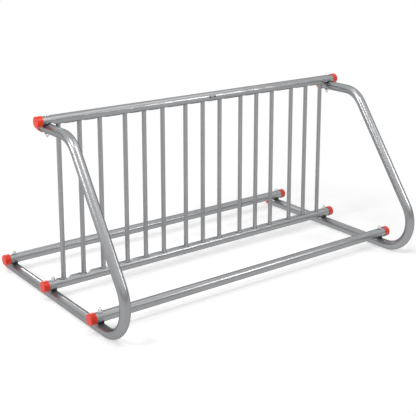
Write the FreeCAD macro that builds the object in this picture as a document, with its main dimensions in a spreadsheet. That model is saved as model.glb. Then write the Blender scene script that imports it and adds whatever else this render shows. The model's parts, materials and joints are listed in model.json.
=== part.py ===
import FreeCAD, Part
import math
import os
import re
import Sketcher
from FreeCAD import Placement, Rotation, Vector

# Floor bike rack: two bent tube end frames, four long rails bolted across them, and a grid of
# fifteen thin bars in five groups of three, whose gaps are the wheel slots.
# Millimetres. X runs along the rails, Y from the front to the rear, Z up. The origin is on the
# floor, at the middle of the rack's length and depth.

doc = FreeCAD.newDocument("floor_bike_rack")

group_count = 5
bars_per_group = 3

# Driving dimensions.
sizes = {
    "tube_diameter": 41.3,          # rails and end frames
    "tube_wall": 2.0,
    "bar_diameter": 19.05,
    "bar_wall": 1.5,
    "rack_height": 760.0,           # floor to the crest of the top rail
    "frame_gap": 48.4,              # last bar to the middle line of an end frame
    "rail_overhang": 46.5,          # bare rail past that line, without its cap
    "rear_gap": 360.0,              # rear rail to the grid
    "front_gap": 373.0,             # grid to the front rail
    "rear_tail": 38.0,              # floor run behind the rear rail, without its plug
    "front_run": 43.0,              # floor run in front of the front rail, up to its bend
    "upper_tail": 52.0,             # upper run behind the top rail
    "floor_bend_radius": 136.0,     # to the middle line of the tube
    "upper_bend_radius": 117.0,
    "slant_angle": 55.0,            # degrees above the floor
    "group_pitch": 304.8,
    "bar_pitch": 93.0,              # from bar to bar in a group
    "bar_entry": 7.0,               # how far a bar goes in past the pressed wall
    "bar_clearance": 0.15,
    "dimple_depth": 3.6,            # pressed seat under each bar
    "dimple_radius": 120.0,
    "saddle_depth": 14.0,           # pressed seat of the top rail over an end frame
    "saddle_radius": 65.0,
    "pad_width": 24.0,              # black spacer between a rail and an end frame
    "pad_corner": 3.0,
    "pad_web": 1.0,                 # its thickness on the line of the bolt
    "seat_clearance": 0.1,          # around pads, caps, heads and nuts
    "cap_length": 25.0,
    "cap_wall": 2.3,
    "cap_round": 1.8,               # also the rim of a plug
    "plug_head": 24.0,              # solid end of a floor run, as wide as its tube
    "plug_spigot": 18.0,
    "bolt_diameter": 9.5,
    "hole_clearance": 0.6,          # around a bolt
    "head_width": 14.3,             # across the flats, head and nut
    "head_height": 6.0,
    "nut_height": 7.5,
    "bolt_stickout": 6.5,           # thread past the nut
    "washer_diameter": 21.0,
    "washer_thickness": 1.8,
    "dome_diameter": 21.0,          # low head on top of the top rail
    "dome_height": 5.2,
}

# Sizes and places that follow from them.
worked_out = {
    "tube_radius": "tube_diameter / 2",
    "bore_radius": "tube_radius - tube_wall",
    "bar_radius": "bar_diameter / 2",
    "grid_reach": f"{(group_count - 1) / 2} * group_pitch + {(bars_per_group - 1) / 2} * bar_pitch",
    "frame_spacing": "2 * (grid_reach + frame_gap)",
    "frame_half": "frame_spacing / 2",
    "rail_length": "frame_spacing + 2 * rail_overhang",
    "rail_half": "rail_length / 2",
    "floor_rail_height": "tube_diameter * 1.5 + pad_web",
    "top_rail_height": "rack_height - tube_radius",
    "upper_run_height": "top_rail_height - tube_diameter - pad_web + saddle_depth",
    "floor_run": "rear_tail + rear_gap + front_gap + front_run",
    "nose_reach": "floor_run + floor_bend_radius + tube_radius",
    "rear_end": "(nose_reach - plug_head) / 2",
    "rear_place": "rear_end - rear_tail",
    "grid_place": "rear_place - rear_gap",
    "front_place": "grid_place - front_gap",
    "upper_end": "grid_place + upper_tail",
    "hole_radius": "bolt_diameter / 2 + hole_clearance",
    "head_corner": "head_width / sqrt(3)",
    "access_radius": "head_corner + 4 * hole_clearance",
    "head_seat": "tube_radius + sqrt(bore_radius ^ 2 - head_corner ^ 2) - seat_clearance",
    "rail_crest": "floor_rail_height + tube_radius + washer_thickness + 2 * seat_clearance",
    "frame_keel": "upper_run_height - tube_radius - washer_thickness - 2 * seat_clearance",
    "dome_ball": "(dome_diameter ^ 2 / 4 + dome_height ^ 2) / (2 * dome_height)",
}


def spell(formula):
    """Put the sheet's name before each of its aliases in a formula."""
    def name(match):
        word = match.group(0)
        if word in sizes:
            return "Sizes." + word
        return "Places." + word if word in worked_out else word
    return re.sub(r"[a-z_]+", name, formula)


def make_sheet(name, cells):
    """Spreadsheet with one alias to a row."""
    sheet = doc.addObject("Spreadsheet::Sheet", name)
    for row, (alias, content) in enumerate(cells.items(), start=1):
        sheet.set(f"A{row}", alias)
        sheet.set(f"B{row}", content)
        sheet.setAlias(f"B{row}", alias)
    doc.recompute()
    return sheet


size_sheet = make_sheet("Sizes", {alias: str(number) for alias, number in sizes.items()})
place_sheet = make_sheet("Places", {alias: "=" + spell(rule) for alias, rule in worked_out.items()})


def value(alias):
    """Present number of one alias."""
    sheet = size_sheet if alias in sizes else place_sheet
    return float(sheet.get(alias))


# Small helpers for bound objects.
def bind(item, formulas):
    for prop, formula in formulas.items():
        item.setExpression(prop, spell(formula))
    return item


def place(item, x, y, z, turn=Rotation()):
    """Turn an object, then tie its position to the sheets."""
    item.Placement = Placement(Vector(), turn)
    return bind(item, {"Placement.Base.x": x, "Placement.Base.y": y, "Placement.Base.z": z})


to_x = Rotation(Vector(0, 1, 0), 90)
to_y = Rotation(Vector(1, 0, 0), -90)


def round_bar(name, radius, length, x, y, z, along="z"):
    """Cylinder whose middle is at x, y, z."""
    item = doc.addObject("Part::Cylinder", name)
    bind(item, {"Radius": radius, "Height": length})
    half = f" - ({length}) / 2"
    if along == "x":
        return place(item, x + half, y, z, to_x)
    if along == "y":
        return place(item, x, y + half, z, to_y)
    return place(item, x, y, z + half)


def standing_bar(name, radius, height, x, y, z):
    """Upright cylinder that starts at z."""
    item = doc.addObject("Part::Cylinder", name)
    bind(item, {"Radius": radius, "Height": height})
    return place(item, x, y, z)


def combine(kind, name, items):
    item = doc.addObject(kind, name)
    item.Shapes = items
    return item


def cut(name, base, tools):
    """Base without its tools."""
    item = doc.addObject("Part::Cut", name)
    item.Base = base
    item.Tool = tools[0] if len(tools) == 1 else combine("Part::MultiFuse", name + "_tools", tools)
    return item


def group(name, items):
    """Several equal small pieces under one name."""
    item = doc.addObject("Part::Compound", name)
    item.Links = items
    return item


def make_body(name):
    return doc.addObject("PartDesign::Body", name)


def make_sketch(body, name, plane, offset=None):
    """Sketch on one of the body's own origin planes, raised by an optional formula."""
    sketch = body.newObject("Sketcher::SketchObject", name)
    support = [item for item in body.Origin.OriginFeatures if item.Role == plane][0]
    sketch.AttachmentSupport = [(support, "")]
    sketch.MapMode = "FlatFace"
    if offset:
        bind(sketch, {"AttachmentOffset.Base.z": offset})
    return sketch


def add_circle(sketch, radius, across=None, along=None):
    """Circle held by its radius and by formulas for its centre."""
    circle = Part.Circle(Vector(0, 0, 0), Vector(0, 0, 1), 1.0)
    index = sketch.addGeometry(circle)
    held = sketch.addConstraint(Sketcher.Constraint("Radius", index, 1.0))
    bind(sketch, {f"Constraints[{held}]": radius})
    for kind, formula in (("DistanceX", across), ("DistanceY", along)):
        if formula is None:
            axis = -2 if kind == "DistanceX" else -1
            sketch.addConstraint(Sketcher.Constraint("PointOnObject", index, 3, axis))
        else:
            held = sketch.addConstraint(Sketcher.Constraint(kind, -1, 1, index, 3, 0.0))
            bind(sketch, {f"Constraints[{held}]": formula})
    return index


# End frames: one tube, bent twice. Each body starts at the rear end of its floor run.
def draw_route(sketch):
    """Middle line of the tube: floor run, floor bend, slant, upper bend and upper run."""
    slant = math.radians(value("slant_angle"))
    low, high = value("tube_radius"), value("upper_run_height")
    big, small = value("floor_bend_radius"), value("upper_bend_radius")
    side = Vector(-math.sin(slant), math.cos(slant), 0)
    big_middle = Vector(-value("floor_run"), low + big, 0)
    leave = big_middle + side * big
    rise = high - small + side.y * small - leave.y
    arrive = leave + Vector(rise / math.tan(slant), rise, 0)
    small_middle = arrive - side * small
    turn = math.pi / 2 + slant
    axis = Vector(0, 0, 1)
    start = Vector(0, low, 0)
    finish = Vector(value("upper_end") - value("rear_end"), high, 0)
    sketch.addGeometry([
        Part.LineSegment(start, Vector(big_middle.x, low, 0)),
        Part.ArcOfCircle(Part.Circle(big_middle, axis, big), turn, 1.5 * math.pi),
        Part.LineSegment(leave, arrive),
        Part.ArcOfCircle(Part.Circle(small_middle, axis, small), math.pi / 2, turn),
        Part.LineSegment(Vector(small_middle.x, high, 0), finish),
    ])
    for rule in (("Tangent", 0, 2, 1, 2), ("Tangent", 1, 1, 2, 1), ("Tangent", 2, 2, 3, 2),
                 ("Tangent", 3, 1, 4, 1), ("Horizontal", 0), ("Horizontal", 4),
                 ("PointOnObject", 0, 1, -2)):
        sketch.addConstraint(Sketcher.Constraint(*rule))
    for rule, formula in (
        (("DistanceY", -1, 1, 0, 1, low), "tube_radius"),
        (("Distance", 0, -big_middle.x), "floor_run"),
        (("Radius", 1, big), "floor_bend_radius"),
        (("Radius", 3, small), "upper_bend_radius"),
        (("Angle", 2, slant), "slant_angle * 1 deg"),
        (("DistanceY", -1, 1, 4, 2, high), "upper_run_height"),
        (("DistanceX", 4, 2, -1, 1, -finish.x), "rear_end - upper_end"),
    ):
        held = sketch.addConstraint(Sketcher.Constraint(*rule))
        bind(sketch, {f"Constraints[{held}]": formula})


def pocket(body, name, sketch, depth, upwards):
    item = body.newObject("PartDesign::Pocket", name)
    item.Profile = sketch
    item.Reversed = upwards
    bind(item, {"Length": depth})
    return item


def make_end_frame(name, x):
    body = make_body(name)
    route = make_sketch(body, name + "_route", "YZ_Plane")
    draw_route(route)
    section = make_sketch(body, name + "_section", "XZ_Plane")
    add_circle(section, "tube_radius", along="tube_radius")
    add_circle(section, "bore_radius", along="tube_radius")
    doc.recompute()
    pipe = body.newObject("PartDesign::AdditivePipe", name + "_tube")
    pipe.Profile = section
    pipe.Spine = route
    doc.recompute()
    area = math.pi * (value("tube_radius") ** 2 - value("bore_radius") ** 2)
    length = sum(edge.Length for edge in route.Shape.Edges)
    share = pipe.Shape.Volume / (area * length)
    print(f"{name}: tube {length:.1f} mm long, volume {share:.5f} of section x length")

    # Bolt holes: three through the floor run, with wide access holes below, one through the top.
    crossings = ("-rear_tail", "-rear_tail - rear_gap", "-rear_tail - rear_gap - front_gap")
    holes = make_sketch(body, name + "_floor_holes", "XY_Plane")
    access = make_sketch(body, name + "_access_holes", "XY_Plane")
    for crossing in crossings:
        add_circle(holes, "hole_radius", along=crossing)
        add_circle(access, "access_radius", along=crossing)
    upper = make_sketch(body, name + "_upper_hole", "XY_Plane", "upper_run_height - tube_diameter")
    add_circle(upper, "hole_radius", along=crossings[1])
    pocket(body, name + "_floor_bores", holes, "tube_diameter + pad_web", True)
    pocket(body, name + "_access_bores", access, "tube_radius", True)
    pocket(body, name + "_upper_bore", upper, "2 * tube_diameter", True)
    return place(body, x, "rear_end", "0")


# Rails: straight tubes whose wall is pressed inwards by round dies.
def make_rail(name, y, z, bar_side=None, bar_places=(), saddle_places=()):
    """Tube with pressed seats. bar_side is + where the bars enter from above, - from below."""
    presses = [(x, bar_side, "dimple_radius", "dimple_depth") for x in bar_places]
    presses += [(x, "-", "saddle_radius", "saddle_depth") for x in saddle_places]
    outer = round_bar(name + "_rod", "tube_radius", "rail_length", "0", y, z, "x")
    inner = round_bar(name + "_bore", "bore_radius", "rail_length + 2", "0", y, z, "x")
    if presses:
        dies = []
        wall_dies = []
        for count, (x, side, radius, depth) in enumerate(presses, start=1):
            middle = f"{z} {side} (tube_radius - {depth} + {radius})"
            width = "2 * tube_diameter"
            wall_radius = f"{radius} + tube_wall"
            wall_name = f"{name}_wall_die_{count}"
            dies.append(round_bar(f"{name}_die_{count}", radius, width, x, y, middle, "y"))
            wall_dies.append(round_bar(wall_name, wall_radius, width, x, y, middle, "y"))
        outer = cut(name + "_pressed_rod", outer, dies)
        inner = cut(name + "_pressed_bore", inner, wall_dies)
    tube = cut(name + "_tube", outer, [inner])
    holes = []
    for side, x in (("left", "-frame_half"), ("right", "frame_half")):
        holes.append(round_bar(f"{name}_{side}_hole", "hole_radius", "2 * tube_diameter", x, y, z))
    for count, x in enumerate(bar_places, start=1):
        middle = f"{z} {bar_side} tube_radius"
        hole_name = f"{name}_bar_hole_{count}"
        holes.append(round_bar(hole_name, "bar_radius + bar_clearance", "tube_diameter", x, y, middle))
    return cut(name, tube, holes)


def make_bar(name, x):
    """Thin tube between the grid base rail and the top rail."""
    low = "(floor_rail_height + tube_radius - dimple_depth - tube_wall - bar_entry)"
    high = "(top_rail_height - tube_radius + dimple_depth + tube_wall + bar_entry)"
    height = f"{high} - {low}"
    inside = "bar_radius - bar_wall"
    outer = standing_bar(name + "_rod", "bar_radius", height, x, "grid_place", low)
    bore = standing_bar(name + "_bore", inside, height + " + 2", x, "grid_place", low + " - 1")
    return cut(name, outer, [bore])


# Ends of the tubes: soft cups slipped over them, and soft plugs where a cup would touch the floor.
def make_disc(body, name, radius, length):
    """Round block from the body's XY plane, with a rounded far rim."""
    disc = make_sketch(body, name + "_disc", "XY_Plane")
    add_circle(disc, radius)
    pad = body.newObject("PartDesign::Pad", name + "_pad")
    pad.Profile = disc
    bind(pad, {"Length": length})
    doc.recompute()
    rim = [f"Edge{count}" for count, edge in enumerate(pad.Shape.Edges, start=1)
           if edge.isClosed() and edge.CenterOfMass.z > value(length) / 2]
    fillet = body.newObject("PartDesign::Fillet", name + "_round")
    fillet.Base = (pad, rim)
    bind(fillet, {"Radius": "cap_round"})


def make_cap(name, x, y, z, turn):
    body = make_body(name)
    make_disc(body, name, "tube_radius + seat_clearance + cap_wall", "cap_length")
    mouth = make_sketch(body, name + "_mouth", "XY_Plane")
    add_circle(mouth, "tube_radius + seat_clearance")
    pocket(body, name + "_inside", mouth, "cap_length - cap_wall", True)
    return place(body, x, y, z, turn)


def make_plug(name, x, y, z):
    body = make_body(name)
    make_disc(body, name, "tube_radius", "plug_head")
    section = make_sketch(body, name + "_section", "XY_Plane")
    add_circle(section, "bore_radius - seat_clearance")
    spigot = body.newObject("PartDesign::Pad", name + "_spigot")
    spigot.Profile = section
    spigot.Reversed = True
    bind(spigot, {"Length": "plug_spigot"})
    return place(body, x, y, z, to_y)


# Spacers: blocks with a hollow for the end frame's tube below and one for the rail above.
def make_block(name, x, y, low, height):
    body = make_body(name)
    square = make_sketch(body, name + "_square", "XY_Plane")
    corners = [Vector(-1, -1, 0), Vector(1, -1, 0), Vector(1, 1, 0), Vector(-1, 1, 0)]
    for count, corner in enumerate(corners):
        square.addGeometry(Part.LineSegment(corner, corners[(count + 1) % 4]))
    for count in range(4):
        square.addConstraint(Sketcher.Constraint("Coincident", count, 2, (count + 1) % 4, 1))
    for rule in (("Horizontal", 0), ("Horizontal", 2), ("Vertical", 1), ("Vertical", 3),
                 ("Symmetric", 0, 1, 2, 1, -1, 1), ("Equal", 0, 1)):
        square.addConstraint(Sketcher.Constraint(*rule))
    held = square.addConstraint(Sketcher.Constraint("Distance", 0, 2.0))
    bind(square, {f"Constraints[{held}]": "pad_width"})
    pad = body.newObject("PartDesign::Pad", name + "_pad")
    pad.Profile = square
    bind(pad, {"Length": height})
    doc.recompute()
    upright = [f"Edge{count}" for count, edge in enumerate(pad.Shape.Edges, start=1)
               if abs(edge.tangentAt(edge.FirstParameter).z) > 0.9]
    fillet = body.newObject("PartDesign::Fillet", name + "_round")
    fillet.Base = (pad, upright)
    bind(fillet, {"Radius": "pad_corner"})
    return place(body, x, y, low)


def make_floor_spacer(name, x, y):
    block = make_block(name + "_block", x, y, "tube_radius", "tube_diameter + pad_web")
    frame = round_bar(name + "_frame_hollow", "tube_radius + seat_clearance", "2 * tube_diameter",
                      x, y, "tube_radius", "y")
    rail = round_bar(name + "_rail_hollow", "tube_radius + seat_clearance", "2 * tube_diameter",
                     x, y, "floor_rail_height", "x")
    hole = round_bar(name + "_hole", "hole_radius", "4 * tube_diameter", x, y, "floor_rail_height")
    return cut(name, block, [frame, rail, hole])


def make_top_spacer(name, x):
    """Its upper face follows the saddle pressed into the top rail."""
    middle = "top_rail_height - tube_radius + saddle_depth - saddle_radius"
    block = make_block(name + "_block", x, "grid_place", "upper_run_height", "tube_diameter")
    die = round_bar(name + "_die", "saddle_radius - seat_clearance", "2 * tube_diameter",
                    x, "grid_place", middle, "y")
    crown = combine("Part::MultiCommon", name + "_crown", [block, die])
    frame = round_bar(name + "_frame_hollow", "tube_radius + seat_clearance", "2 * tube_diameter",
                      x, "grid_place", "upper_run_height", "y")
    hole = round_bar(name + "_hole", "hole_radius", "4 * tube_diameter", x, "grid_place", "upper_run_height")
    return cut(name, crown, [frame, hole])


# Fasteners.
def hexagon(name, height, x, y, z):
    item = doc.addObject("Part::Prism", name)
    item.Polygon = 6
    bind(item, {"Circumradius": "head_corner", "Height": height})
    return place(item, x, y, z)


def make_floor_bolt(name, x, y):
    """Head inside the floor run, thread up through the rail and its nut."""
    head = hexagon(name + "_head", "head_height", x, y, "head_seat - head_height")
    reach = "rail_crest + nut_height + bolt_stickout - head_seat"
    shank = standing_bar(name + "_shank", "bolt_diameter / 2", reach, x, y, "head_seat")
    return combine("Part::MultiFuse", name, [head, shank])


def make_top_bolt(name, x):
    """Low round head on the top rail, thread down through the upper run and its nut."""
    head = doc.addObject("Part::Sphere", name + "_head")
    bind(head, {"Radius": "dome_ball", "Angle1": "asin(1 - dome_height / dome_ball)"})
    place(head, x, "grid_place", "rack_height + seat_clearance - dome_ball + dome_height")
    low = "(frame_keel - nut_height - bolt_stickout)"
    reach = f"rack_height + seat_clearance + dome_height / 2 - {low}"
    shank = standing_bar(name + "_shank", "bolt_diameter / 2", reach, x, "grid_place", low)
    return combine("Part::MultiFuse", name, [head, shank])


def make_nut(name, x, y, z):
    radius = "bolt_diameter / 2 + seat_clearance"
    hole = standing_bar(name + "_hole", radius, "3 * nut_height", x, y, f"{z} - nut_height")
    return cut(name, hexagon(name + "_hexagon", "nut_height", x, y, z), [hole])


def make_washer(name, x, y, z):
    disc = standing_bar(name + "_disc", "washer_diameter / 2", "washer_thickness", x, y, z)
    radius = "bolt_diameter / 2 + 2 * seat_clearance"
    hole = round_bar(name + "_hole", radius, "3 * washer_thickness", x, y, z)
    return cut(name, disc, [hole])


# Assembly.
nodes = {}


def keep(item, label):
    item.Label = label
    nodes[label] = item


bar_places = []
for group_number in range(group_count):
    for bar_number in range(bars_per_group):
        groups_out = group_number - (group_count - 1) / 2
        bars_out = bar_number - (bars_per_group - 1) / 2
        bar_places.append(f"{groups_out} * group_pitch + {bars_out} * bar_pitch")

ends = {"left": "-frame_half", "right": "frame_half"}
for side, x in ends.items():
    keep(make_end_frame(side + "_frame_body", x), side + "_end_frame")

keep(make_rail("rear_rail_tube", "rear_place", "floor_rail_height"), "rear_rail")
keep(make_rail("front_rail_tube", "front_place", "floor_rail_height"), "front_rail")
keep(make_rail("base_rail_tube", "grid_place", "floor_rail_height", "+", bar_places), "grid_base_rail")
keep(make_rail("top_rail_tube", "grid_place", "top_rail_height", "-", bar_places, ends.values()), "top_rail")

for count, x in enumerate(bar_places, start=1):
    keep(make_bar(f"bar_{count:02d}", x), f"grid_bar_{count:02d}")

crossings = {"rear": "rear_place", "middle": "grid_place", "front": "front_place"}
rails = {"rear_rail": ("rear_place", "floor_rail_height"), "front_rail": ("front_place", "floor_rail_height"),
         "grid_base": ("grid_place", "floor_rail_height"), "top_rail": ("grid_place", "top_rail_height")}
cap_turns = {"left": Rotation(Vector(0, 1, 0), -90), "right": to_x}
for side, x in ends.items():
    sign = "-" if side == "left" else ""
    cap_start = f"{sign}(rail_half + cap_wall + seat_clearance - cap_length)"
    for rail, (y, z) in rails.items():
        keep(make_cap(f"{rail}_{side}_cap_body", cap_start, y, z, cap_turns[side]), f"{rail}_{side}_cap")
    keep(make_plug(f"floor_run_{side}_plug", x, "rear_end", "tube_radius"), f"floor_run_{side}_cap")
    upper_start = "upper_end + cap_wall + seat_clearance - cap_length"
    upper_cap = make_cap(f"upper_run_{side}_cap_body", x, upper_start, "upper_run_height", to_y)
    keep(upper_cap, f"upper_run_{side}_cap")
    for crossing, y in crossings.items():
        keep(make_floor_spacer(f"{crossing}_{side}_pad", x, y), f"{crossing}_{side}_spacer")
    keep(make_top_spacer(f"top_{side}_pad", x), f"top_{side}_spacer")

floor_bolts = []
top_bolts = []
nuts = []
washers = []
for side, x in ends.items():
    for crossing, y in crossings.items():
        spot = f"{side}_{crossing}"
        floor_bolts.append(make_floor_bolt(f"floor_bolt_{spot}", x, y))
        washers.append(make_washer(f"washer_{spot}", x, y, "rail_crest - washer_thickness - seat_clearance"))
        nuts.append(make_nut(f"nut_{spot}", x, y, "rail_crest"))
    top_bolts.append(make_top_bolt(f"top_bolt_{side}", x))
    washers.append(make_washer(f"washer_{side}_top", x, "grid_place", "frame_keel + seat_clearance"))
    nuts.append(make_nut(f"nut_{side}_top", x, "grid_place", "frame_keel - nut_height"))
keep(group("floor_bolt_group", floor_bolts), "floor_bolts")
keep(group("top_bolt_group", top_bolts), "top_bolts")
keep(group("nut_group", nuts), "hex_nuts")
keep(group("washer_group", washers), "flat_washers")

doc.recompute()

for item in doc.Objects:
    if "Invalid" in item.State or "Error" in item.State:
        raise RuntimeError(f"{item.Name} failed: {item.State}")
for label, item in nodes.items():
    if item.Shape.isNull() or not item.Shape.isValid():
        raise RuntimeError(f"{label} has no valid shape")

os.makedirs("parts", exist_ok=True)
for label, item in nodes.items():
    item.Shape.exportStep(f"parts/{label}.step")
print(len(nodes), "nodes written")
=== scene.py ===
import json
import math
import bpy
import numpy as np
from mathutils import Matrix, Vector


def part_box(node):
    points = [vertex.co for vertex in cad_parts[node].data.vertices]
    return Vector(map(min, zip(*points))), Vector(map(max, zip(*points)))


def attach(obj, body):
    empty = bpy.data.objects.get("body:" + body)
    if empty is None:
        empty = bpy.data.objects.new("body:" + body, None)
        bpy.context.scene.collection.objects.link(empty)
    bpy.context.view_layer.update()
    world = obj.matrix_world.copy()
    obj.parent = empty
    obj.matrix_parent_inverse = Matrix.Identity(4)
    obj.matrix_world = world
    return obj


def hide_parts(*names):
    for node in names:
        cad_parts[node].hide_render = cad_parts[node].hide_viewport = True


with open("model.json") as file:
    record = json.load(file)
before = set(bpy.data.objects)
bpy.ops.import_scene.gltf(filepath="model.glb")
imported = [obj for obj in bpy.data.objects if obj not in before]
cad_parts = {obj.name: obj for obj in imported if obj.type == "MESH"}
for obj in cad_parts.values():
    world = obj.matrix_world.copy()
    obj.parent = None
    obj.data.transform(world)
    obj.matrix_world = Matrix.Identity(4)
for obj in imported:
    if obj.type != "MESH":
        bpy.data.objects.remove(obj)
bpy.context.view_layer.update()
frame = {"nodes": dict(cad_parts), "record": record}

# Floor bike rack in silver powder coat, with red vinyl ends, zinc bolts and black spacers,
# whose black also serves as painted shade in the crevice under each rail.
# Metres, in the rack's own frame: X along the rails, Y to the rear, Z up.
nodes = frame["nodes"]
mm = 0.001
turn = 2 * math.pi


class Wire:
    # One output of a material's nodes. Operators on it add Math nodes to the same material.
    def __init__(self, finish, socket):
        self.finish = finish
        self.socket = socket

    def math(self, operation, other):
        return self.finish.node("ShaderNodeMath", {"operation": operation}, {0: self, 1: other})

    def __add__(self, other):
        return self.math("ADD", other)

    __radd__ = __add__

    def __mul__(self, other):
        return self.math("MULTIPLY", other)

    __rmul__ = __mul__

    def __sub__(self, other):
        return self.math("SUBTRACT", other)

    def __rsub__(self, other):
        return (self * -1) + other

    def between(self, low, high):
        # 0 below low, 1 above high, smooth in between
        return self.finish.node("ShaderNodeMapRange", {"interpolation_type": "SMOOTHSTEP"},
                                {"Value": self, "From Min": low, "From Max": high})


class Finish:
    # One material, or the world, built from wires.
    def __init__(self, name, owners=bpy.data.materials, place="Object"):
        self.material = owners.new(name)
        self.material.use_nodes = True
        self.tree = self.material.node_tree
        self.tree.nodes.clear()
        self.place = self.node("ShaderNodeTexCoord", out=place)

    def node(self, kind, settings=None, values=None, out=0):
        # any node, with its settings, its inputs by name or number, and the output that is wanted
        made = self.tree.nodes.new(kind)
        for name, setting in (settings or {}).items():
            setattr(made, name, setting)
        for name, value in (values or {}).items():
            socket = made.inputs[name]
            if isinstance(value, Wire):
                self.tree.links.new(value.socket, socket)
            else:
                socket.default_value = value
        return Wire(self, made.outputs[out] if made.outputs else None)

    def noise(self, scale, detail, place=None):
        return self.node("ShaderNodeTexNoise", None,
                         {"Vector": place or self.place, "Scale": scale, "Detail": detail})

    def stretched(self, x, y, z):
        # the piece's own coordinates, scaled apart along each axis
        return self.node("ShaderNodeMapping", None, {"Vector": self.place, "Scale": (x, y, z)})

    def blend(self, mask, first, second):
        # the first colour where the mask is 0, the second where it is 1
        return self.node("ShaderNodeMix", {"data_type": "RGBA"},
                         {"Factor": mask, "A": (*first, 1), "B": (*second, 1)}, out="Result")

    def bump(self, height, strength):
        # the height is in metres
        return self.node("ShaderNodeBump", None, {"Height": height, "Distance": 1.0, "Strength": strength})

    def mirrored(self):
        # 1 for what is seen in a mirror or through glass, else 0
        glossy = self.node("ShaderNodeLightPath", out="Is Glossy Ray")
        return glossy.math("MAXIMUM", self.node("ShaderNodeLightPath", out="Is Transmission Ray"))

    def seen(self):
        # the same, or seen straight by the camera
        return self.mirrored().math("MAXIMUM", self.node("ShaderNodeLightPath", out="Is Camera Ray"))

    def close(self, shader, kind="ShaderNodeOutputMaterial"):
        self.node(kind, None, {"Surface": shader})
        return self.material

    def principled(self, **values):
        # the whole material from one Principled shader, its inputs named with _ for each space
        named = {name.replace("_", " "): value for name, value in values.items()}
        return self.close(self.node("ShaderNodeBsdfPrincipled", None, named))


# In each finish a scale is that of one noise, a range says where its mask goes from 0 to 1, and a
# depth is the height in metres that it adds. Roughness is roughLow plus roughSpread times a noise.
coat = {
    "colour": (0.352, 0.355, 0.364), "deepColour": (0.316, 0.320, 0.329), "edge": (0.42, 0.43, 0.44, 1.0),
    "metallic": 0.90, "roughLow": 0.235, "roughSpread": 0.05, "clearCoat": 0.15, "clearRoughness": 0.20,
    "cloudScale": 9.0, "cloudRange": (0.3, 0.7), "cloudShare": 0.55,
    "flakeScale": 2600.0, "flakeRange": (0.35, 0.65), "flakeShare": 0.35,
    "peelScale": 260.0, "peelDepth": 0.000022, "lumpScale": 1100.0, "lumpDepth": 0.0006, "bump": 0.9,
}


def silverCoat(name, lumpy=False):
    # Baked silver powder: fine flakes in colour and roughness, orange peel in the bump,
    # slow clouds where the powder lies thicker. Welds add coarser lumps.
    finish = Finish(name)
    clouds = finish.noise(coat["cloudScale"], detail=3.0)
    flakes = finish.noise(coat["flakeScale"], detail=1.0)
    peel = finish.noise(coat["peelScale"], detail=2.0)
    mask = (clouds.between(*coat["cloudRange"]) * coat["cloudShare"]
            + flakes.between(*coat["flakeRange"]) * coat["flakeShare"])
    rough = clouds * coat["roughSpread"] + flakes * coat["roughSpread"] + coat["roughLow"]
    height = peel * coat["peelDepth"]
    if lumpy:
        height = height + finish.noise(coat["lumpScale"], detail=3.0) * coat["lumpDepth"]
    return finish.principled(
        Base_Color=finish.blend(mask, coat["deepColour"], coat["colour"]), Metallic=coat["metallic"],
        Roughness=rough, Normal=finish.bump(height, coat["bump"]), Specular_Tint=coat["edge"],
        Coat_Weight=coat["clearCoat"], Coat_Roughness=coat["clearRoughness"])


vinyl = {
    "colour": (0.90, 0.050, 0.018), "deepColour": (0.80, 0.036, 0.013), "roughLow": 0.31,
    "roughSpread": 0.12, "clearCoat": 0.10, "clearRoughness": 0.18, "specular": 0.35,
    "cloudScale": 55.0, "cloudRange": (0.3, 0.75), "cloudDepth": 0.0004,
    "poreScale": 900.0, "poreDepth": 0.00005, "bump": 0.8,
}


def redVinyl(name):
    # Dipped soft vinyl: even red, slightly cloudy, with fine pores and a glossy skin.
    finish = Finish(name)
    clouds = finish.noise(vinyl["cloudScale"], detail=3.0)
    pores = finish.noise(vinyl["poreScale"], detail=2.0)
    mask = clouds.between(*vinyl["cloudRange"])
    height = pores * vinyl["poreDepth"] + clouds * vinyl["cloudDepth"]
    return finish.principled(
        Base_Color=finish.blend(mask, vinyl["deepColour"], vinyl["colour"]),
        Roughness=pores * vinyl["roughSpread"] + vinyl["roughLow"],
        Normal=finish.bump(height, vinyl["bump"]), Coat_Weight=vinyl["clearCoat"],
        Coat_Roughness=vinyl["clearRoughness"], Specular_IOR_Level=vinyl["specular"])


zinc = {
    "bluish": (0.66, 0.68, 0.71), "straw": (0.76, 0.75, 0.71), "metallic": 0.95, "roughLow": 0.14,
    "roughSpread": 0.16, "cloudScale": 140.0, "cloudRange": (0.35, 0.65),
    "brushScales": (900.0, 900.0, 120.0), "brushDepth": 0.00004, "bump": 0.7,
}


def zincPlate(name):
    # Bright zinc: bluish and straw clouds over a lightly brushed metal.
    finish = Finish(name)
    clouds = finish.noise(zinc["cloudScale"], detail=3.0)
    brush = finish.noise(1.0, detail=2.0, place=finish.stretched(*zinc["brushScales"]))
    return finish.principled(
        Base_Color=finish.blend(clouds.between(*zinc["cloudRange"]), zinc["bluish"], zinc["straw"]),
        Metallic=zinc["metallic"], Roughness=brush * zinc["roughSpread"] + zinc["roughLow"],
        Normal=finish.bump(brush * zinc["brushDepth"], zinc["bump"]))


# Spacer rubber. Its near black is partly painted shade for the crevice between rail and frame tube.
rubber = {
    "colour": (0.012, 0.012, 0.013), "dust": (0.045, 0.044, 0.043), "roughLow": 0.5, "roughSpread": 0.2,
    "bloomScale": 60.0, "bloomRange": (0.45, 0.8), "bloomShare": 0.6,
    "grainScale": 1400.0, "grainDepth": 0.0001, "bump": 0.8,
}


def blackPadAndCreviceShade(name):
    # Moulded rubber spacers: dull black with a dusty bloom and a fine grain. The black also stands
    # in as painted shade for the dark crevice between each rail and the frame tube it crosses.
    finish = Finish(name)
    bloom = finish.noise(rubber["bloomScale"], detail=4.0)
    grain = finish.noise(rubber["grainScale"], detail=2.0)
    mask = bloom.between(*rubber["bloomRange"]) * rubber["bloomShare"]
    return finish.principled(
        Base_Color=finish.blend(mask, rubber["colour"], rubber["dust"]),
        Roughness=grain * rubber["roughSpread"] + rubber["roughLow"],
        Normal=finish.bump(grain * rubber["grainDepth"], rubber["bump"]))


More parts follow.
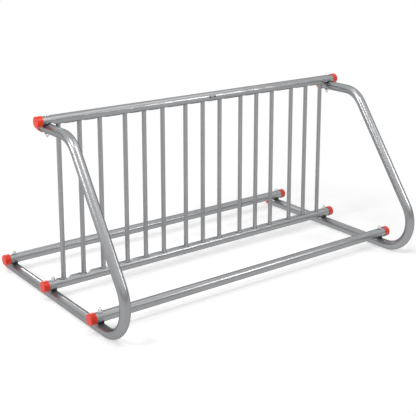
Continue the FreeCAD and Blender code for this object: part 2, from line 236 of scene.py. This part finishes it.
satin = {
    "dark": (0.23, 0.24, 0.24), "light": (0.34, 0.35, 0.35), "metallic": 0.85, "roughLow": 0.40,
    "roughSpread": 0.16, "brushScales": (60.0, 2600.0, 2600.0), "brushDepth": 0.00005, "bump": 0.6,
}


def satinPlate(name):
    # Bare aluminium tag, brushed along its length.
    finish = Finish(name)
    brush = finish.noise(1.0, detail=3.0, place=finish.stretched(*satin["brushScales"]))
    return finish.principled(
        Base_Color=finish.blend(brush, satin["dark"], satin["light"]), Metallic=satin["metallic"],
        Roughness=brush * satin["roughSpread"] + satin["roughLow"],
        Normal=finish.bump(brush * satin["brushDepth"], satin["bump"]))


# The rivets' near black is painted shade; the lighter worn spots are random wear.
rivetShadeAndWear = {
    "colour": (0.012, 0.010, 0.012), "worn": (0.050, 0.044, 0.050), "roughLow": 0.52, "roughSpread": 0.25,
    "specular": 0.2, "wearScale": 700.0, "wearRange": (0.5, 0.8),
}


def shadeAndWornRivet(name):
    # Rivet heads coloured near black as painted shade, for the dark spots at the plate's ends, with
    # worn, slightly lighter spots.
    finish = Finish(name)
    wear = finish.noise(rivetShadeAndWear["wearScale"], detail=3.0)
    mask = wear.between(*rivetShadeAndWear["wearRange"])
    return finish.principled(
        Base_Color=finish.blend(mask, rivetShadeAndWear["colour"], rivetShadeAndWear["worn"]),
        Roughness=wear * rivetShadeAndWear["roughSpread"] + rivetShadeAndWear["roughLow"],
        Specular_IOR_Level=rivetShadeAndWear["specular"])


finishes = {
    "silver": silverCoat("silverPowderCoat"),
    "weld": silverCoat("coatedWeld", lumpy=True),
    "vinyl": redVinyl("redVinyl"),
    "zinc": zincPlate("brightZinc"),
    "rubber": blackPadAndCreviceShade("blackPadAndCreviceShade"),
    "plate": satinPlate("satinAluminium"),
    "rivet": shadeAndWornRivet("shadeAndWornRivet"),
}
slotFinish = {"silver_coat": "silver", "red_vinyl": "vinyl", "zinc": "zinc", "black_spacer": "rubber"}
slotOfNode = {part["node"]: part["material_slot"] for part in frame["record"]["subparts"]}
for name, item in nodes.items():
    for slot in item.material_slots:
        slot.material = finishes[slotFinish[slotOfNode[name]]]
print("finishes ready")


def gridFaces(rows, columns, loopRows=False):
    # Quads between neighbouring rows of a grid. Each row is a closed ring of points, and where
    # asked the last row meets the first.
    row = np.arange(rows if loopRows else rows - 1)[:, None]
    column = np.arange(columns)[None, :]
    nextRow, nextColumn = (row + 1) % rows, (column + 1) % columns
    corners = (row * columns + column, row * columns + nextColumn,
               nextRow * columns + nextColumn, nextRow * columns + column)
    return np.stack(corners, -1).reshape(-1, 4)


def poleFaces(ring, pole, flip):
    # Triangles from one ring of point numbers to a single point.
    fan = np.stack([ring, np.roll(ring, -1), np.full_like(ring, pole)], -1)
    return fan[:, ::-1] if flip else fan


def roundAngles(count):
    return np.arange(count) * turn / count


def linked(name, data):
    # A new object in the scene.
    made = bpy.data.objects.new(name, data)
    bpy.context.scene.collection.objects.link(made)
    return made


class Shell:
    # Collects surfaces, then becomes one piece.
    def __init__(self):
        self.points, self.quads, self.fans, self.count = [], [], [], 0

    def add(self, points, quads, fans=(), flip=False):
        # flip turns the faces' outer sides round
        step = -1 if flip else 1
        self.points.append(points.reshape(-1, 3))
        self.quads.append(quads[:, ::step] + self.count)
        self.fans += [fan[:, ::step] + self.count for fan in fans]
        self.count += len(self.points[-1])

    def piece(self, name, finish, slot, replaced=(), sharp=40.0):
        # edges sharper than the given degrees stay hard
        points = np.concatenate(self.points)
        quads = np.concatenate(self.quads)
        fans = np.concatenate(self.fans) if self.fans else np.zeros((0, 3), int)
        mesh = bpy.data.meshes.new(name)
        mesh.vertices.add(len(points))
        mesh.vertices.foreach_set("co", points.astype(np.float32).ravel())
        loops = np.concatenate([quads.ravel(), fans.ravel()])
        mesh.loops.add(len(loops))
        mesh.loops.foreach_set("vertex_index", loops.astype(np.int32))
        mesh.polygons.add(len(quads) + len(fans))
        starts = np.concatenate([np.arange(len(quads)) * 4, quads.size + np.arange(len(fans)) * 3])
        mesh.polygons.foreach_set("loop_start", starts.astype(np.int32))
        mesh.update(calc_edges=True)
        mesh.validate()
        mesh.polygons.foreach_set("use_smooth", np.ones(len(mesh.polygons), bool))
        mesh.set_sharp_from_angle(angle=math.radians(sharp))
        mesh.materials.append(finishes[finish])
        made = linked(name, mesh)
        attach(made, "root")
        if replaced:
            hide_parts(*replaced)


def revolved(profile, sides, centre, axis, side):
    # Profile of (radius, distance along the axis) pairs turned round the axis. A first or last
    # radius of 0 is a pole; without poles the profile closes on itself.
    profile, centre = np.asarray(profile, float), np.asarray(centre, float)
    axis, side = np.asarray(axis, float), np.asarray(side, float)
    angle = roundAngles(sides)
    around = np.cos(angle)[:, None] * side + np.sin(angle)[:, None] * np.cross(axis, side)
    firstPole, lastPole = profile[0, 0] == 0, profile[-1, 0] == 0
    rings = profile[int(firstPole):len(profile) - int(lastPole)]
    points = rings[:, 0, None, None] * around + rings[:, 1, None, None] * axis + centre
    ring, count = np.arange(sides), len(rings) * sides
    poles, fans = [], []
    if firstPole:
        fans.append(poleFaces(ring, count, True))
        poles.append(profile[0, 1] * axis + centre)
    if lastPole:
        fans.append(poleFaces(ring + count - sides, count + len(poles), False))
        poles.append(profile[-1, 1] * axis + centre)
    quads = gridFaces(len(rings), sides, loopRows=not poles)
    return np.concatenate([points.reshape(-1, 3), np.reshape(poles, (-1, 3))]), quads, fans


def uprightRings(centre, up, angle, radius, level):
    # Rings round an upright axis: a row of radii for each level, which is measured up or down.
    return np.stack([centre[0] + radius * np.cos(angle), centre[1] + radius * np.sin(angle),
                     centre[2] + up * np.broadcast_to(level[:, None], radius.shape)], -1)


def arc(centre, radius, start, end, steps):
    # Points on a part of a circle in the profile's plane, between two angles in degrees.
    angle = np.radians(np.linspace(start, end, steps))
    return np.stack([centre[0] + radius * np.cos(angle), centre[1] + radius * np.sin(angle)], -1)


def middle(node):
    low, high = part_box(node)
    return (np.array(low) + np.array(high)) / 2


def size(node):
    low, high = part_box(node)
    return np.array(high) - np.array(low)


barNames = sorted(name for name in nodes if name.startswith("grid_bar"))
barPlaces = np.array([middle(name)[0] for name in barNames])
framePlaces = np.array([middle("left_end_frame")[0], middle("right_end_frame")[0]])
tubeRadius = size("rear_rail")[1] / 2
barRadius = size(barNames[0])[0] / 2

# Rails whose wall is pressed in under the bars (seats) and over the end frames (saddles).
pressing = {
    "wall": 2.0 * mm, "seatDepth": 5.6 * mm, "seatHalf": 31 * mm, "saddleDepth": 14 * mm,
    "saddleHalf": 41 * mm, "fullness": 1.25, "crease": 0.14, "leastCrease": 1e-7, "bulge": 0.13,
    "sides": 56, "step": 2.5 * mm,
}


def pressDepth(along, places, depth, half):
    # Sum of the presses: the depth times (1 - t squared) to the power of the fullness, with t the
    # distance from a press's middle over its half length.
    reach = np.clip(np.abs(along[:, None] - places[None, :]) / half, 0, 1)
    return (depth * (1 - reach ** 2) ** pressing["fullness"]).sum(1)


def pressedTube(along, depth, radius, centre, up):
    # Circles whose height is held under a soft limit, the radius less the depth: half of height
    # plus limit, less half the root of their difference squared plus the crease squared. The
    # flanks bulge outwards by a share of the depth, most at mid height, not at top and bottom.
    angle = roundAngles(pressing["sides"])
    across, height = radius * np.sin(angle)[None, :], radius * np.cos(angle)[None, :]
    depth = depth[:, None]
    limit = radius - depth
    soft = pressing["crease"] * depth + pressing["leastCrease"]
    pressed = (height + limit - np.sqrt((height - limit) ** 2 + soft ** 2)) / 2
    flank = across * (1 + pressing["bulge"] * depth / radius * (1 - (height / radius) ** 2) ** 0.5)
    wide = np.broadcast_to(along[:, None], pressed.shape)
    return np.stack([wide, centre[1] + flank, centre[2] + up * pressed], -1)


def pressedRail(name, node, up, saddles=()):
    # Outer skin from left to right, then the inner skin back, closed into one tube wall.
    low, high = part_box(node)
    centre = middle(node)
    along = np.linspace(low[0], high[0], int((high[0] - low[0]) / pressing["step"]) + 1)
    depth = pressDepth(along, barPlaces, pressing["seatDepth"], pressing["seatHalf"])
    if len(saddles):
        saddle = pressDepth(along, saddles, pressing["saddleDepth"], pressing["saddleHalf"])
        depth = np.maximum(depth, saddle)
    outer = pressedTube(along, depth, tubeRadius, centre, up)
    inner = pressedTube(along, depth, tubeRadius - pressing["wall"], centre, up)
    points = np.concatenate([outer, inner[::-1]])
    rail = Shell()
    rail.add(points, gridFaces(len(points), pressing["sides"], loopRows=True), flip=up > 0)
    rail.piece(name, "silver", "silver_coat", [node])


pressedRail("baseRailTube", "grid_base_rail", 1)
pressedRail("topRailTube", "top_rail", -1, framePlaces)
print("rails pressed")

bead = {
    "radius": 2.1 * mm, "out": 0.4 * mm, "lift": 0.7 * mm, "turns": 52, "sides": 12, "lumps": 13,
    "lumpShare": 0.16, "lumpShift": 1.7, "slowLumps": 5, "slowShare": 0.08,
}


def weldBeads():
    # A ring round each bar's foot, just outside the bar's radius. Its centre is lifted a little
    # off the seat, the lower of the pressed height and the round tube's own, and its section
    # swells and shrinks with two sine waves round the bar, shifted from bar to bar.
    beads = Shell()
    angle, section = roundAngles(bead["turns"]), roundAngles(bead["sides"])
    ring = barRadius + bead["out"]
    across = ring * np.sin(angle)
    quads = gridFaces(bead["turns"], bead["sides"], loopRows=True)
    for node, up in (("grid_base_rail", 1), ("top_rail", -1)):
        centre = middle(node)
        for number, place in enumerate(barPlaces):
            along = place + ring * np.cos(angle)
            depth = pressDepth(along, barPlaces, pressing["seatDepth"], pressing["seatHalf"])
            seat = np.minimum(tubeRadius - depth, np.sqrt(tubeRadius ** 2 - across ** 2)) + bead["lift"]
            quick = np.sin(bead["lumps"] * angle + bead["lumpShift"] * number)
            slow = np.sin(bead["slowLumps"] * angle + number)
            lump = bead["radius"] * (1 + bead["lumpShare"] * quick + bead["slowShare"] * slow)
            out = np.cos(section)[None, :] * lump[:, None]
            rise = np.sin(section)[None, :] * lump[:, None]
            points = np.stack([along[:, None] + out * np.cos(angle)[:, None],
                               centre[1] + across[:, None] + out * np.sin(angle)[:, None],
                               centre[2] + up * (seat[:, None] + rise)], -1)
            beads.add(points, quads, flip=up < 0)
    beads.piece("weldBeads", "weld", "silver_coat")


weldBeads()
print("weld beads laid")

cap = {
    "sides": 72, "inside": 20.75 * mm, "wall": 2.3 * mm, "mouthRise": 0.3 * mm, "mouthFlare": 0.4 * mm,
    "lipEase": 0.5 * mm, "lipLength": 2.2 * mm, "lipStep": 0.25 * mm, "lipSlope": 0.6 * mm,
    "waist": 0.15 * mm, "rim": 3.0 * mm, "rimSteps": 9, "crown": 0.5 * mm, "crownSteps": 7,
}
# The insets say how far the spigot's tip and root and the head's edge lie inside the head's radius.
plug = {
    "headLength": 24 * mm, "tipInset": 2.2 * mm, "rootInset": 2.1 * mm, "edgeInset": 0.3 * mm,
    "edgeRise": 0.4 * mm,
}


def vinylCap(name, node, axis, solid=False):
    # A cup turned round the tube's axis: inside wall, mouth, outer lip, outer wall, round rim and
    # an end that is crowned by the square of the radius. A plug has a solid head and a spigot.
    low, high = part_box(node)
    axis = np.array(axis, float)
    length = abs(size(node) @ axis)
    face = np.array(high if axis.sum() > 0 else low) @ np.abs(axis) * np.sign(axis.sum())
    centre = middle(node) * (1 - np.abs(axis))
    radius = size(node)[2] / 2
    start, rim = face - length, cap["rim"]
    if solid:
        head = face - plug["headLength"]
        wall = [(0, start), (radius - plug["tipInset"], start), (radius - plug["rootInset"], head),
                (radius - plug["edgeInset"], head), (radius, head + plug["edgeRise"])]
    else:
        inside, bottom, lipEnd = cap["inside"], face - cap["wall"], start + cap["lipLength"]
        wall = [(0, bottom), (inside, bottom), (inside, start + cap["mouthRise"]),
                (inside + cap["mouthFlare"], start), (radius - cap["lipEase"], start),
                (radius, start + cap["lipEase"]), (radius, lipEnd),
                (radius - cap["lipStep"], lipEnd + cap["lipSlope"])]
        radius -= cap["waist"]
    rimArc = arc((radius - rim, face - rim - cap["crown"]), rim, 0, 90, cap["rimSteps"])
    inwards = np.linspace(radius - rim, 0, cap["crownSteps"])[1:]
    crown = np.stack([inwards, face - cap["crown"] * (inwards / (radius - rim)) ** 2], -1)
    shell = Shell()
    shell.add(*revolved(np.concatenate([wall, rimArc, crown]), cap["sides"], centre, axis, (0, 0, 1)))
    shell.piece(name, "vinyl", "red_vinyl", [node])


for sideName, sign in (("left", -1), ("right", 1)):
    for rail in ("rear_rail", "front_rail", "grid_base", "top_rail"):
        words = rail.split("_")
        label = words[0] + words[1].capitalize() + sideName.capitalize() + "Cap"
        vinylCap(label, f"{rail}_{sideName}_cap", (sign, 0, 0))
    vinylCap(f"upperRun{sideName.capitalize()}Cap", f"upper_run_{sideName}_cap", (0, 1, 0))
    vinylCap(f"floorRun{sideName.capitalize()}Plug", f"floor_run_{sideName}_cap", (0, 1, 0), solid=True)
print("red ends made")

# The thread starts floorThread or topThread away from the nut's seat, and a rod overlaps its head.
# Groove slope and crest flat are shares of the thread's depth, and hexRows are in millimetres.
fastener = {
    "sides": 48, "shank": 4.75 * mm, "root": 4.05 * mm, "pitch": 1.5875 * mm, "rowStep": 0.16 * mm,
    "grooveSlope": 1.25, "crestFlat": 0.12, "tipInset": 0.3 * mm, "stickout": 6.5 * mm,
    "floorThread": 12 * mm, "topThread": 8 * mm, "overlap": 0.2 * mm, "clearance": 0.05 * mm,
    "flats": 14.3 * mm, "nutHeight": 7.5 * mm, "headHeight": 6.0 * mm, "hexPoints": 96,
    "hexRows": (0, 0.25, 0.5, 0.8, 1.2, 2.5), "coneShare": 0.97, "coneAngle": 30,
    "mouth": 0.3 * mm, "leastHole": 0.4 * mm,
    "washerOuter": 10.5 * mm, "washerInner": 5.0 * mm, "washerHeight": 1.8 * mm, "washerEase": 0.35 * mm,
    "domeRadius": 10.5 * mm, "domeHeight": 5.2 * mm, "domeEdge": 0.2 * mm, "domeRows": 12, "domeSides": 64,
}


def hexRadius(angle):
    # Distance from the middle of a hexagon to its side in each direction: half the flats over
    # the cosine of the angle to the nearest side's middle.
    return fastener["flats"] / 2 / np.cos((angle + turn / 12) % (turn / 6) - turn / 12)


def hexBlock(centre, up, height, hole):
    # Rows of hexagon points, held near both ends inside a cone that leans 30 degrees from the end
    # face, then the faces inwards to the hole. A block without a hole keeps a pinhole.
    angle = roundAngles(fastener["hexPoints"])
    mouth = fastener["mouth"]
    heights = np.array(fastener["hexRows"]) * mm
    heights = np.concatenate([heights, height - heights[::-1]])
    fromEnd = np.minimum(heights, height - heights)
    slope = math.tan(math.radians(fastener["coneAngle"]))
    cone = fastener["flats"] / 2 * fastener["coneShare"] + fromEnd / slope
    sides = np.minimum(hexRadius(angle)[None, :], cone[:, None])
    ends = np.full((1, len(angle)), max(hole, fastener["leastHole"]))
    radius = np.concatenate([ends, ends + mouth, sides, ends + mouth, ends])
    level = np.concatenate([[mouth, 0], heights, [height, height - mouth]])
    points = uprightRings(centre, up, angle, radius, level)
    return points, gridFaces(len(radius), len(angle), loopRows=True), (), up < 0


def threadedRod(centre, up, start, end, threadFrom):
    # The radius falls and rises in a V with a flat crest as the height passes each turn of the
    # thread, shifted by the angle round the rod. The thread deepens over its first pitch, and the
    # tip is chamfered.
    shank, root, pitch = fastener["shank"], fastener["root"], fastener["pitch"]
    angle = roundAngles(fastener["sides"])
    level = np.concatenate([[start], np.arange(threadFrom, end, fastener["rowStep"]), [end]])
    phase = (level[:, None] / pitch - up * angle[None, :] / turn) % 1
    groove = fastener["grooveSlope"] * (1 - np.abs(2 * phase - 1)) - fastener["crestFlat"]
    active = np.clip((level - threadFrom) / pitch, 0, 1)[:, None]
    depth = (shank - root) * np.clip(groove, 0, 1) * active
    radius = np.minimum(shank - depth, root - fastener["tipInset"] + (end - level)[:, None])
    points = uprightRings(centre, up, angle, radius, level).reshape(-1, 3)
    poles = np.array(centre) + up * np.array([[0, 0, start], [0, 0, end]])
    ring, count = np.arange(len(angle)), radius.size
    fans = [poleFaces(ring, count, True), poleFaces(ring + count - len(angle), count + 1, False)]
    return np.concatenate([points, poles]), gridFaces(len(level), len(angle)), fans, up < 0


def washer(centre):
    # A flat ring whose outer edges are eased.
    inner, outer = fastener["washerInner"], fastener["washerOuter"]
    height, ease = fastener["washerHeight"], fastener["washerEase"]
    profile = [(inner, 0), (outer - ease, 0), (outer, ease),
               (outer, height - ease), (outer - ease, height), (inner, height)]
    return revolved(profile, fastener["sides"], centre, (0, 0, 1), (1, 0, 0))


def dome(centre):
    # Low round head with a flat underside: a part of a sphere, whose radius is the sum of the
    # head's radius squared and its height squared, over twice its height.
    radius, height = fastener["domeRadius"], fastener["domeHeight"]
    ball = (radius ** 2 + height ** 2) / (2 * height)
    lean = np.linspace(math.asin(radius / ball), 0, fastener["domeRows"])
    profile = [(0, 0), (radius - fastener["domeEdge"], 0)]
    profile += [(ball * math.sin(angle), height - ball * (1 - math.cos(angle))) for angle in lean[:-1]]
    profile += [(0, height)]
    return revolved(profile, fastener["domeSides"], centre, (0, 0, 1), (1, 0, 0))


def makeFasteners():
    # Floor bolts come up through the floor runs and the rails, with a washer and a nut on top.
    # Top bolts hang from their heads, with the washer and the nut below.
    bolts, topBolts, nuts, washers = Shell(), Shell(), Shell(), Shell()
    boltLow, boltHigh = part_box("floor_bolts")
    topLow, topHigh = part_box("top_bolts")
    gap, nutHole = fastener["clearance"], fastener["shank"] + fastener["clearance"]
    nutHeight, headHeight = fastener["nutHeight"], fastener["headHeight"]
    domeHeight = fastener["domeHeight"]
    rodStart = boltLow[2] + headHeight - fastener["overlap"]
    floorNutBottom = boltHigh[2] - fastener["stickout"] - nutHeight
    topNutTop = topLow[2] + fastener["stickout"] + nutHeight
    for x in framePlaces:
        for node in ("rear_rail", "grid_base_rail", "front_rail"):
            y = middle(node)[1]
            bolts.add(*hexBlock((x, y, boltLow[2]), 1, headHeight, 0))
            bolts.add(*threadedRod((x, y, 0.0), 1, rodStart, boltHigh[2],
                                   floorNutBottom - fastener["floorThread"]))
            nuts.add(*hexBlock((x, y, floorNutBottom), 1, nutHeight, nutHole))
            washers.add(*washer((x, y, floorNutBottom - fastener["washerHeight"] - gap)))
    for x in framePlaces:
        y = middle("top_rail")[1]
        topBolts.add(*dome((x, y, topHigh[2] - domeHeight)))
        topBolts.add(*threadedRod((x, y, 0.0), -1, -topHigh[2] + domeHeight / 2, -topLow[2],
                                  -topNutTop - fastener["topThread"]))
        nuts.add(*hexBlock((x, y, topNutTop), -1, nutHeight, nutHole))
        washers.add(*washer((x, y, topNutTop + gap)))
    bolts.piece("floorBolts", "zinc", "zinc", ["floor_bolts"], sharp=50)
    topBolts.piece("topBolts", "zinc", "zinc", ["top_bolts"], sharp=50)
    nuts.piece("hexNuts", "zinc", "zinc", ["hex_nuts"], sharp=25)
    washers.piece("flatWashers", "zinc", "zinc", ["flat_washers"], sharp=35)


makeFasteners()
print("fasteners made")

# Angles are in degrees. A ring is a share of the outline and a share of the thickness, from the
# middle of the top skin round the edge to the middle of the underside.
tag = {
    "place": 0.039, "length": 34 * mm, "lean": 10.0, "span": 48.0, "thick": 0.9 * mm, "corner": 0.28,
    "clearance": 0.05 * mm, "points": 96,
    "rings": ((0.05, 1), (0.35, 1), (0.7, 1), (0.96, 1), (1.0, 0.75),
              (1.0, 0.05), (0.96, 0), (0.7, 0), (0.35, 0), (0.05, 0)),
    "rivetRadius": 4.0 * mm, "rivetHeight": 1.6 * mm, "rivetInset": 4.9 * mm, "rivetSink": 0.4 * mm,
    "rivetLean": -4.0, "rivetSeat": 0.8, "rivetRows": 8, "rivetSides": 32,
}


def barePlate():
    # A thin sheet wrapped on the rail: its outline is a rounded box in length and arc, each the
    # half size times the cosine or sine to the power of the corner. It is carried out along the
    # rail's own radius, with the top skin and the underside joined round the edge.
    centre = middle("top_rail")
    half = np.array([tag["length"] / 2, tubeRadius * math.radians(tag["span"]) / 2])
    angle = np.linspace(0, turn, tag["points"], endpoint=False)
    waves = np.stack([np.cos(angle), np.sin(angle)], -1)
    edge = half * np.sign(waves) * np.abs(waves) ** tag["corner"]
    shares, lifts = np.array(tag["rings"]).T
    flat = shares[:, None, None] * edge
    lean = math.radians(tag["lean"]) + flat[..., 1] / tubeRadius
    radius = tubeRadius + (lifts * tag["thick"] + tag["clearance"])[:, None]
    points = np.stack([tag["place"] + flat[..., 0], centre[1] - radius * np.cos(lean),
                       centre[2] + radius * np.sin(lean)], -1)
    plate = Shell()
    plate.add(points, gridFaces(len(shares), len(angle), loopRows=True), flip=True)
    plate.piece("barePlate", "plate", "zinc", sharp=35)


def plateRivets():
    # Two low heads, each a quarter of an ellipse turned round the direction out of the rail.
    rivets = Shell()
    centre = middle("top_rail")
    lean = math.radians(tag["lean"] + tag["rivetLean"])
    out = np.array([0, -math.cos(lean), math.sin(lean)])
    radius, height, sink = tag["rivetRadius"], tag["rivetHeight"], tag["rivetSink"]
    quarter = np.radians(np.linspace(0, 90, tag["rivetRows"]))
    profile = [(0, -sink), (radius, -sink)]
    profile += [(radius * math.cos(a), height * math.sin(a)) for a in quarter[:-1]] + [(0, height)]
    seat = out * (tubeRadius + tag["thick"] * tag["rivetSeat"])
    for sign in (-1, 1):
        along = tag["place"] + sign * (tag["length"] / 2 - tag["rivetInset"])
        spot = np.array([along, centre[1], centre[2]]) + seat
        rivets.add(*revolved(profile, tag["rivetSides"], spot, out, (1, 0, 0)))
    rivets.piece("plateRivets", "rivet", "zinc")


barePlate()
plateRivets()
print("plate made")

# Walls, upper and ceiling say how bright mirrors see the studio. The rise and the fall give the
# height, as the sine of its angle, where each starts and ends.
stageSet = {
    "floorColour": 0.80, "speckleScale": 6.0, "speckleShade": 0.985, "floorHalf": 30, "lift": 0.42,
    "whiteFrom": 1.02, "whiteTo": 1.60, "stretchY": 1.25, "worldStrength": 0.30,
    "walls": 0.55, "upper": 1.12, "ceiling": 0.96, "wallRise": (0.15, 0.55), "ceilingFall": (0.55, 0.95),
}


def paleFloor():
    # One large sheet. The camera sees its lit colour lifted towards white, and plain white
    # further out, so that only the shadows round the rack show. Mirrors see the white.
    finish = Finish("paleFloor")
    speckle = finish.noise(stageSet["speckleScale"], detail=2.0)
    pale = (stageSet["floorColour"],) * 3
    colour = finish.blend(speckle, tuple(stageSet["speckleShade"] * part for part in pale), pale)
    plain = finish.node("ShaderNodeBsdfDiffuse", None, {"Color": colour})
    glow = finish.node("ShaderNodeEmission", None, {"Strength": stageSet["lift"]})
    white = finish.node("ShaderNodeEmission", None, {"Strength": 1.0})
    lifted = finish.node("ShaderNodeAddShader", None, {0: plain, 1: glow})
    # the distance is measured with Y stretched, so that the white keeps off the long rack's corners
    away = finish.node("ShaderNodeVectorMath", {"operation": "LENGTH"},
                       {0: finish.stretched(1.0, stageSet["stretchY"], 1.0)}, out="Value")
    far = away.between(stageSet["whiteFrom"], stageSet["whiteTo"])
    spread = finish.node("ShaderNodeMixShader", None, {
        "Fac": far.math("MAXIMUM", finish.mirrored()), 1: lifted, 2: white})
    shader = finish.node("ShaderNodeMixShader", None, {"Fac": finish.seen(), 1: plain, 2: spread})
    mesh = bpy.data.meshes.new("floorSheet")
    half = stageSet["floorHalf"]
    mesh.from_pydata([(-half, -half, 0), (half, -half, 0), (half, half, 0), (-half, half, 0)], [],
                     [(0, 1, 2, 3)])
    mesh.materials.append(finish.close(shader))
    sheet = linked("floorSheet", mesh)


def softBox(name, place, aim, width, height, power):
    # A rectangular lamp that faces its aim: yaw from the X and Y between them, pitch from the rise
    # over the level distance.
    light = bpy.data.lights.new(name, "AREA")
    light.shape, light.size, light.size_y = "RECTANGLE", width, height
    light.energy = power
    lamp = linked(name, light)
    lamp.location = place
    direction = np.array(aim, float) - np.array(place, float)
    yaw = math.atan2(direction[0], direction[1])
    pitch = math.atan2(direction[2], math.hypot(direction[0], direction[1]))
    lamp.rotation_euler = (math.pi / 2 + pitch, 0, -yaw)


def skyAround():
    # White straight to the camera. Mirrors see walls that grow lighter with the height of the
    # direction, from 9 to 33 degrees, then a slightly greyer ceiling from 33 to 72 degrees. As a
    # light on dull surfaces it is dimmer and even.
    sky = Finish("studio", bpy.data.worlds, "Generated")
    height = sky.node("ShaderNodeSeparateXYZ", None, {0: sky.place}, out="Z")
    walls, upper, ceiling = stageSet["walls"], stageSet["upper"], stageSet["ceiling"]
    mirrored = (height.between(*stageSet["wallRise"]) * (upper - walls) + walls
                - height.between(*stageSet["ceilingFall"]) * (upper - ceiling))
    straight = sky.node("ShaderNodeLightPath", out="Is Camera Ray")
    shown = mirrored + straight * (1.0 - mirrored)
    dim = stageSet["worldStrength"]
    strength = sky.seen() * (shown - dim) + dim
    shade = sky.node("ShaderNodeBackground", None, {"Color": (1, 1, 1, 1), "Strength": strength})
    bpy.context.scene.world = sky.close(shade, "ShaderNodeOutputWorld")


lamps = {  # place, aim, width, height, watts
    "keyBox": ((1.37, -1.75, 1.50), (0.1, 0.0, 0.40), 0.50, 0.40, 8.5),
    "frontTopBox": ((-0.50, -1.30, 2.50), (-0.1, 0.0, 0.40), 0.70, 0.30, 16.5),
    "overTopBox": ((0.25, -0.15, 1.75), (0.2, 0.0, 0.70), 1.50, 0.40, 2.1),
    "leftTopBox": ((-2.40, -0.30, 3.60), (0.0, 0.0, 0.40), 0.70, 0.60, 32.0),
    "lowLeftBox": ((-3.80, 0.90, 1.60), (0.0, 0.0, 0.45), 0.70, 0.60, 31.0),
    "nearLeftBox": ((-3.20, -0.10, 1.60), (0.0, 0.0, 0.50), 0.50, 0.50, 8.0),
    "backBox": ((0.10, 2.80, 1.50), (0.0, 0.0, 0.20), 0.80, 0.40, 13.0),
}
paleFloor()
skyAround()
for name, settings in lamps.items():
    softBox(name, *settings)

# The photograph's view: place in metres, turns in degrees, and in pixels of the square picture
# the focal length and the row that the lens's axis meets. The sensor is in millimetres.
view = {
    "place": (-2.2974, -3.0182, 1.5212), "yaw": 36.947, "pitch": -12.276, "focal": 902.76,
    "centreRow": 110.25, "pixels": 416, "sensor": 36, "sightEnd": 200,
}
camera = bpy.data.cameras.new("photoCamera")
camera.sensor_width = view["sensor"]
camera.lens = view["focal"] / view["pixels"] * view["sensor"]
camera.shift_y = (view["centreRow"] - view["pixels"] / 2) / view["pixels"]
camera.clip_end = view["sightEnd"]
eye = linked("photoCamera", camera)
eye.location = view["place"]
eye.rotation_euler = (math.radians(90 + view["pitch"]), 0, -math.radians(view["yaw"]))
bpy.context.scene.camera = eye
bpy.context.scene.view_settings.view_transform = "Standard"
print("stage ready")
